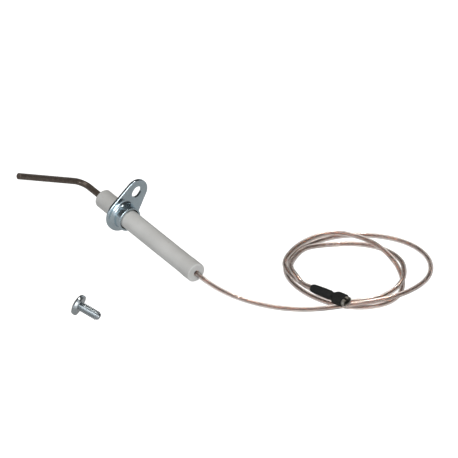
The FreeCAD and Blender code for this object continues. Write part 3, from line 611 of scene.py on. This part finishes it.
def thread_radius(x, turn):
    """Radius of the threaded shank at a station and a turn: one start, V form with flats."""
    phase = (x / THREAD_PITCH - turn / (2 * math.pi)) % 1.0
    ridge = clamp(THREAD_PEAK - abs(phase - 0.5) * THREAD_FLANK)
    run_in = clamp((x - THREAD_START) / THREAD_RUN_IN)
    run_out = clamp((THREAD_FADE_END - x) / THREAD_RUN_OUT)
    point = POINT_TAPER * max(0.0, x - POINT_START) / (SHANK_LENGTH - POINT_START)
    return THREAD_ROOT - point + (THREAD_CREST - THREAD_ROOT) * ridge * run_in * run_out


def clamp(value):
    """The value, kept between 0 and 1."""
    return min(1.0, max(0.0, value))


# Half section of the screw's head from its crown to the start of the thread: x, radius.
HEAD_SECTION = [
    (-3.10, 0.6), (-3.0, 1.4), (-2.82, 2.3), (-2.55, 3.2), (-2.27, 3.9), (-2.06, 4.28),
    (-1.84, 4.5), (-1.55, 4.61), (-1.2, 4.64), (-0.4, 4.64), (-0.12, 4.58), (0.0, 4.42),
    (0.0, 3.2), (0.0, 2.1), (0.07, 1.84), (0.2, 1.72),
]
# The same at the blunt tip.
TIP_SECTION = [(9.57, 1.15), (SHANK_LENGTH, 0.8)]


def build_screw(material):
    """Pan-head screw with a helical thread and a cross recess."""
    around = SCREW_SIDES
    turns = [2 * math.pi * j / around for j in range(around)]
    stations = [[(x, radius)] * around for x, radius in HEAD_SECTION]
    for i in range(int((THREAD_END - THREAD_START) / SCREW_STEP) + 1):
        x = THREAD_START + i * SCREW_STEP
        stations.append([(x, thread_radius(x, turn)) for turn in turns])
    stations += [[(x, radius)] * around for x, radius in TIP_SECTION]
    place = screw_matrix()
    verts = []
    for ring in stations:
        for turn, (x, radius) in zip(turns, ring):
            verts.append(place @ Vector((x, radius * math.cos(turn), radius * math.sin(turn))))
    faces = ring_faces(len(stations), around)
    first = len(verts)
    verts.append(place @ Vector((-HEAD_THICK, 0, 0)))
    verts.append(place @ Vector((SHANK_LENGTH, 0, 0)))
    last = (len(stations) - 1) * around
    for j in range(around):
        k = (j + 1) % around
        faces.append((first, k, j))
        faces.append((first + 1, last + j, last + k))
    obj = mesh_object("fixing_screw_visual", verts, faces, material)
    cut_recess(obj, place)
    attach(obj, "screw")
    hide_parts("fixing_screw")


# Faces of the recess cutter: four corners at its mouth, then four at its floor.
BOX_FACES = [(3, 2, 1, 0), (4, 5, 6, 7), (0, 1, 5, 4), (1, 2, 6, 5), (2, 3, 7, 6), (3, 0, 4, 7)]


def cut_recess(obj, place):
    """Sink a tapering cross recess into the head's crown, one arm pair at a time."""
    for angle in (0, 90):
        turn = Matrix.Rotation(math.radians(angle), 4, "X")
        verts = []
        for x, span, width in RECESS_SECTIONS:
            for y, z in ((-span, -width), (span, -width), (span, width), (-span, width)):
                verts.append(place @ turn @ Vector((x, y, z)))
        cutter = mesh_object("recess_cutter", verts, BOX_FACES, obj.data.materials[0],
                             smooth=False)
        cut = obj.modifiers.new("recess", "BOOLEAN")
        cut.operation = "DIFFERENCE"
        cut.object = cutter
        bake_modifiers(obj)
        bpy.data.objects.remove(cutter)
    obj.data.polygons.foreach_set("use_smooth", [True] * len(obj.data.polygons))
    obj.data.set_sharp_from_angle(angle=math.radians(SHARP_EDGE))


def bake_modifiers(obj):
    """Replace the object's mesh with what its modifiers make of it."""
    graph = bpy.context.evaluated_depsgraph_get()
    mesh = bpy.data.meshes.new_from_object(obj.evaluated_get(graph))
    obj.modifiers.clear()
    obj.data = mesh


# --------------------------------------------------------------- stage, light, camera

# Height of the stage's floor in metres, under the lowest place that the lead swings to.
STAGE_LEVEL = -0.065
FLOOR_HALF_SIZE = 3.0
# Light that the floor gives off where it is seen, and what is left of it past a reflection.
PAPER_GLOW = 0.85
REFLECTED_SHARE = 0.35


def build_stage():
    """Plain pale floor: white to the eye, also through the sheath; mid grey in reflections."""
    g = material_graph("paper_floor")
    fibre = g.noise(g.place(), 500.0, 3.0)
    path = g.add("LightPath").outputs
    unreflected = g.remap(path["Glossy Depth"], 0.0, 1.0, 1.0, REFLECTED_SHARE)
    through_sheath = g.math("MULTIPLY", path["Is Transmission Ray"], unreflected)
    seen = g.math("MAXIMUM", path["Is Camera Ray"], through_sheath)
    colour = g.ramp(fibre, [(0.3, grey(0.51)), (0.7, grey(0.54))])
    paper = g.principled(Base_Color=colour, Roughness=0.95, Emission_Color=grey(1.0),
                         Emission_Strength=g.math("MULTIPLY", seen, PAPER_GLOW))
    material = g.finish(paper)
    work = bmesh.new()
    bmesh.ops.create_grid(work, x_segments=8, y_segments=8, size=FLOOR_HALF_SIZE)
    mesh = bpy.data.meshes.new("floor")
    work.to_mesh(mesh)
    work.free()
    floor = bpy.data.objects.new("floor", mesh)
    floor.location = (0.03, 0.03, STAGE_LEVEL)
    mesh.materials.append(material)
    bpy.context.scene.collection.objects.link(floor)


def area_light(name, place, target, size, power, colour):
    """A round lamp aimed at a target, in metres and watts."""
    data = bpy.data.lights.new(name, "AREA")
    data.shape = "DISK"
    data.size = size
    data.energy = power
    data.color = colour
    lamp = bpy.data.objects.new(name, data)
    lamp.location = place
    aim = Vector(target) - Vector(place)
    lamp.rotation_euler = aim.to_track_quat("-Z", "Y").to_euler()
    bpy.context.scene.collection.objects.link(lamp)
    return lamp


def light_only(lamp, objects):
    """Let a lamp show in these objects' shine and in nothing else."""
    group = bpy.data.collections.new(lamp.name + "_group")
    for obj in objects:
        group.objects.link(obj)
    lamp.light_linking.receiver_collection = group
    lamp.visible_diffuse = False


ROOM_STRENGTH = 0.70
ROOM_COLOUR = (0.94, 0.97, 1.0, 1.0)
# The room as the camera sees it: white paper, like the floor.
BACKDROP_STRENGTH = 1.08
# What is left of the room's light in its dark sides.
DARK_LEVEL = 0.06
# Dark sides of the room: direction, and the facing where the dark begins and is full.
DARK_SIDES = [
    ((0.35, 0.65, 0.67), 0.68, 0.78),
    ((-0.89, 0.0, 0.45), 0.58, 0.70),
    ((0.66, -0.48, 0.57), 0.965, 0.985),
]


def build_light(lead):
    """Soft studio: a grey room with dark sides, three lamps, and a glint for the lead."""
    world = bpy.data.worlds.new("studio")
    bpy.context.scene.world = world
    g = Graph(world)
    towards = g.add("TexCoord").outputs["Generated"]
    light = ROOM_STRENGTH
    for direction, near, far in DARK_SIDES:
        facing = g.add("VectorMath", {"operation": "DOT_PRODUCT"},
                       (towards, Vector(direction).normalized()))
        fade = g.remap(facing.outputs["Value"], near, far, 1.0, DARK_LEVEL)
        light = g.math("MULTIPLY", fade, light)
    camera_ray = g.add("LightPath").outputs["Is Camera Ray"]
    backdrop = g.math("MULTIPLY", camera_ray, BACKDROP_STRENGTH)
    shown = g.math("MAXIMUM", light, backdrop)
    background = g.add("Background", Color=ROOM_COLOUR, Strength=shown)
    g.add("OutputWorld", Surface=background.outputs[0])
    centre = (0.03, 0.03, 0.0)
    area_light("key", (0.25, -0.75, 0.70), centre, 0.7, 2.4, (1.0, 0.99, 0.97))
    area_light("fill", (0.95, -0.1, 0.22), centre, 0.5, 3.1, (0.98, 0.99, 1.0))
    area_light("top", (-0.3, 0.2, 1.1), centre, 0.3, 3.4, (1.0, 0.96, 0.9))
    coil = (0.08, 0.06, 0.0)
    glint = area_light("glint", (-0.26, 0.48, 1.0), coil, 0.3, 20.0, (1.0, 0.93, 0.85))
    light_only(glint, lead)


# Camera: angles in degrees, distance and the view's width at the target in metres.
CAMERA_AZIMUTH = 54.0
CAMERA_ELEVATION = 35.0
CAMERA_TARGET = Vector((30.4, 35.4, -5.8)) * MM
CAMERA_DISTANCE = 2.5
VIEW_WIDTH = 0.1982684
SENSOR_WIDTH = 36.0


def build_camera():
    """Long lens at the photograph's angle."""
    azimuth, elevation = math.radians(CAMERA_AZIMUTH), math.radians(CAMERA_ELEVATION)
    back = Vector((math.sin(azimuth) * math.cos(elevation),
                   -math.cos(azimuth) * math.cos(elevation), math.sin(elevation)))
    data = bpy.data.cameras.new("camera")
    data.sensor_width = SENSOR_WIDTH
    data.lens = SENSOR_WIDTH * CAMERA_DISTANCE / VIEW_WIDTH
    data.clip_end = 20.0
    camera = bpy.data.objects.new("camera", data)
    camera.location = CAMERA_TARGET + back * CAMERA_DISTANCE
    camera.rotation_euler = (-back).to_track_quat("-Z", "Y").to_euler()
    bpy.context.scene.collection.objects.link(camera)
    bpy.context.scene.camera = camera


def paint(node, material):
    """Give a CAD node its material."""
    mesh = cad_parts[node].data
    mesh.materials.clear()
    mesh.materials.append(material)


zinc = zinc_material("zinc_plate", (0.64, 0.75, 0.81), 0.18)
paint("ceramic_insulator", ceramic_material())
paint("sensing_rod", rod_material())
paint("mounting_flange", zinc)
tinned = tinned_material()
for node in ("receptacle_terminal", "splice_ferrule"):
    paint(node, tinned)
nose = cement_material("nose_filling", (0.20, 0.18, 0.15), (0.42, 0.39, 0.34))
paint("nose_cement", nose)
# Painted shade: the collar's cement is coloured near black to stand in for the shadow in the gap
# between collar and ceramic.
collar = cement_material("collar_filling_painted_shade", (0.02, 0.019, 0.017), (0.07, 0.065, 0.06))
paint("collar_cement", collar)
# Painted light: the rear cement is coloured light pink to stand in for the glow in the shaded,
# recessed rear bore.
rear = cement_material("rear_filling_painted_light", (0.66, 0.49, 0.42), (0.82, 0.63, 0.55))
paint("rear_cement", rear)
lead = build_lead(sheath_material(), copper_material())
build_sleeve(sleeve_material())
build_screw(zinc_material("zinc_screw", (0.55, 0.595, 0.62), 0.24))
build_stage()
build_light(lead)
build_camera()
bpy.context.scene.view_settings.view_transform = "Standard"
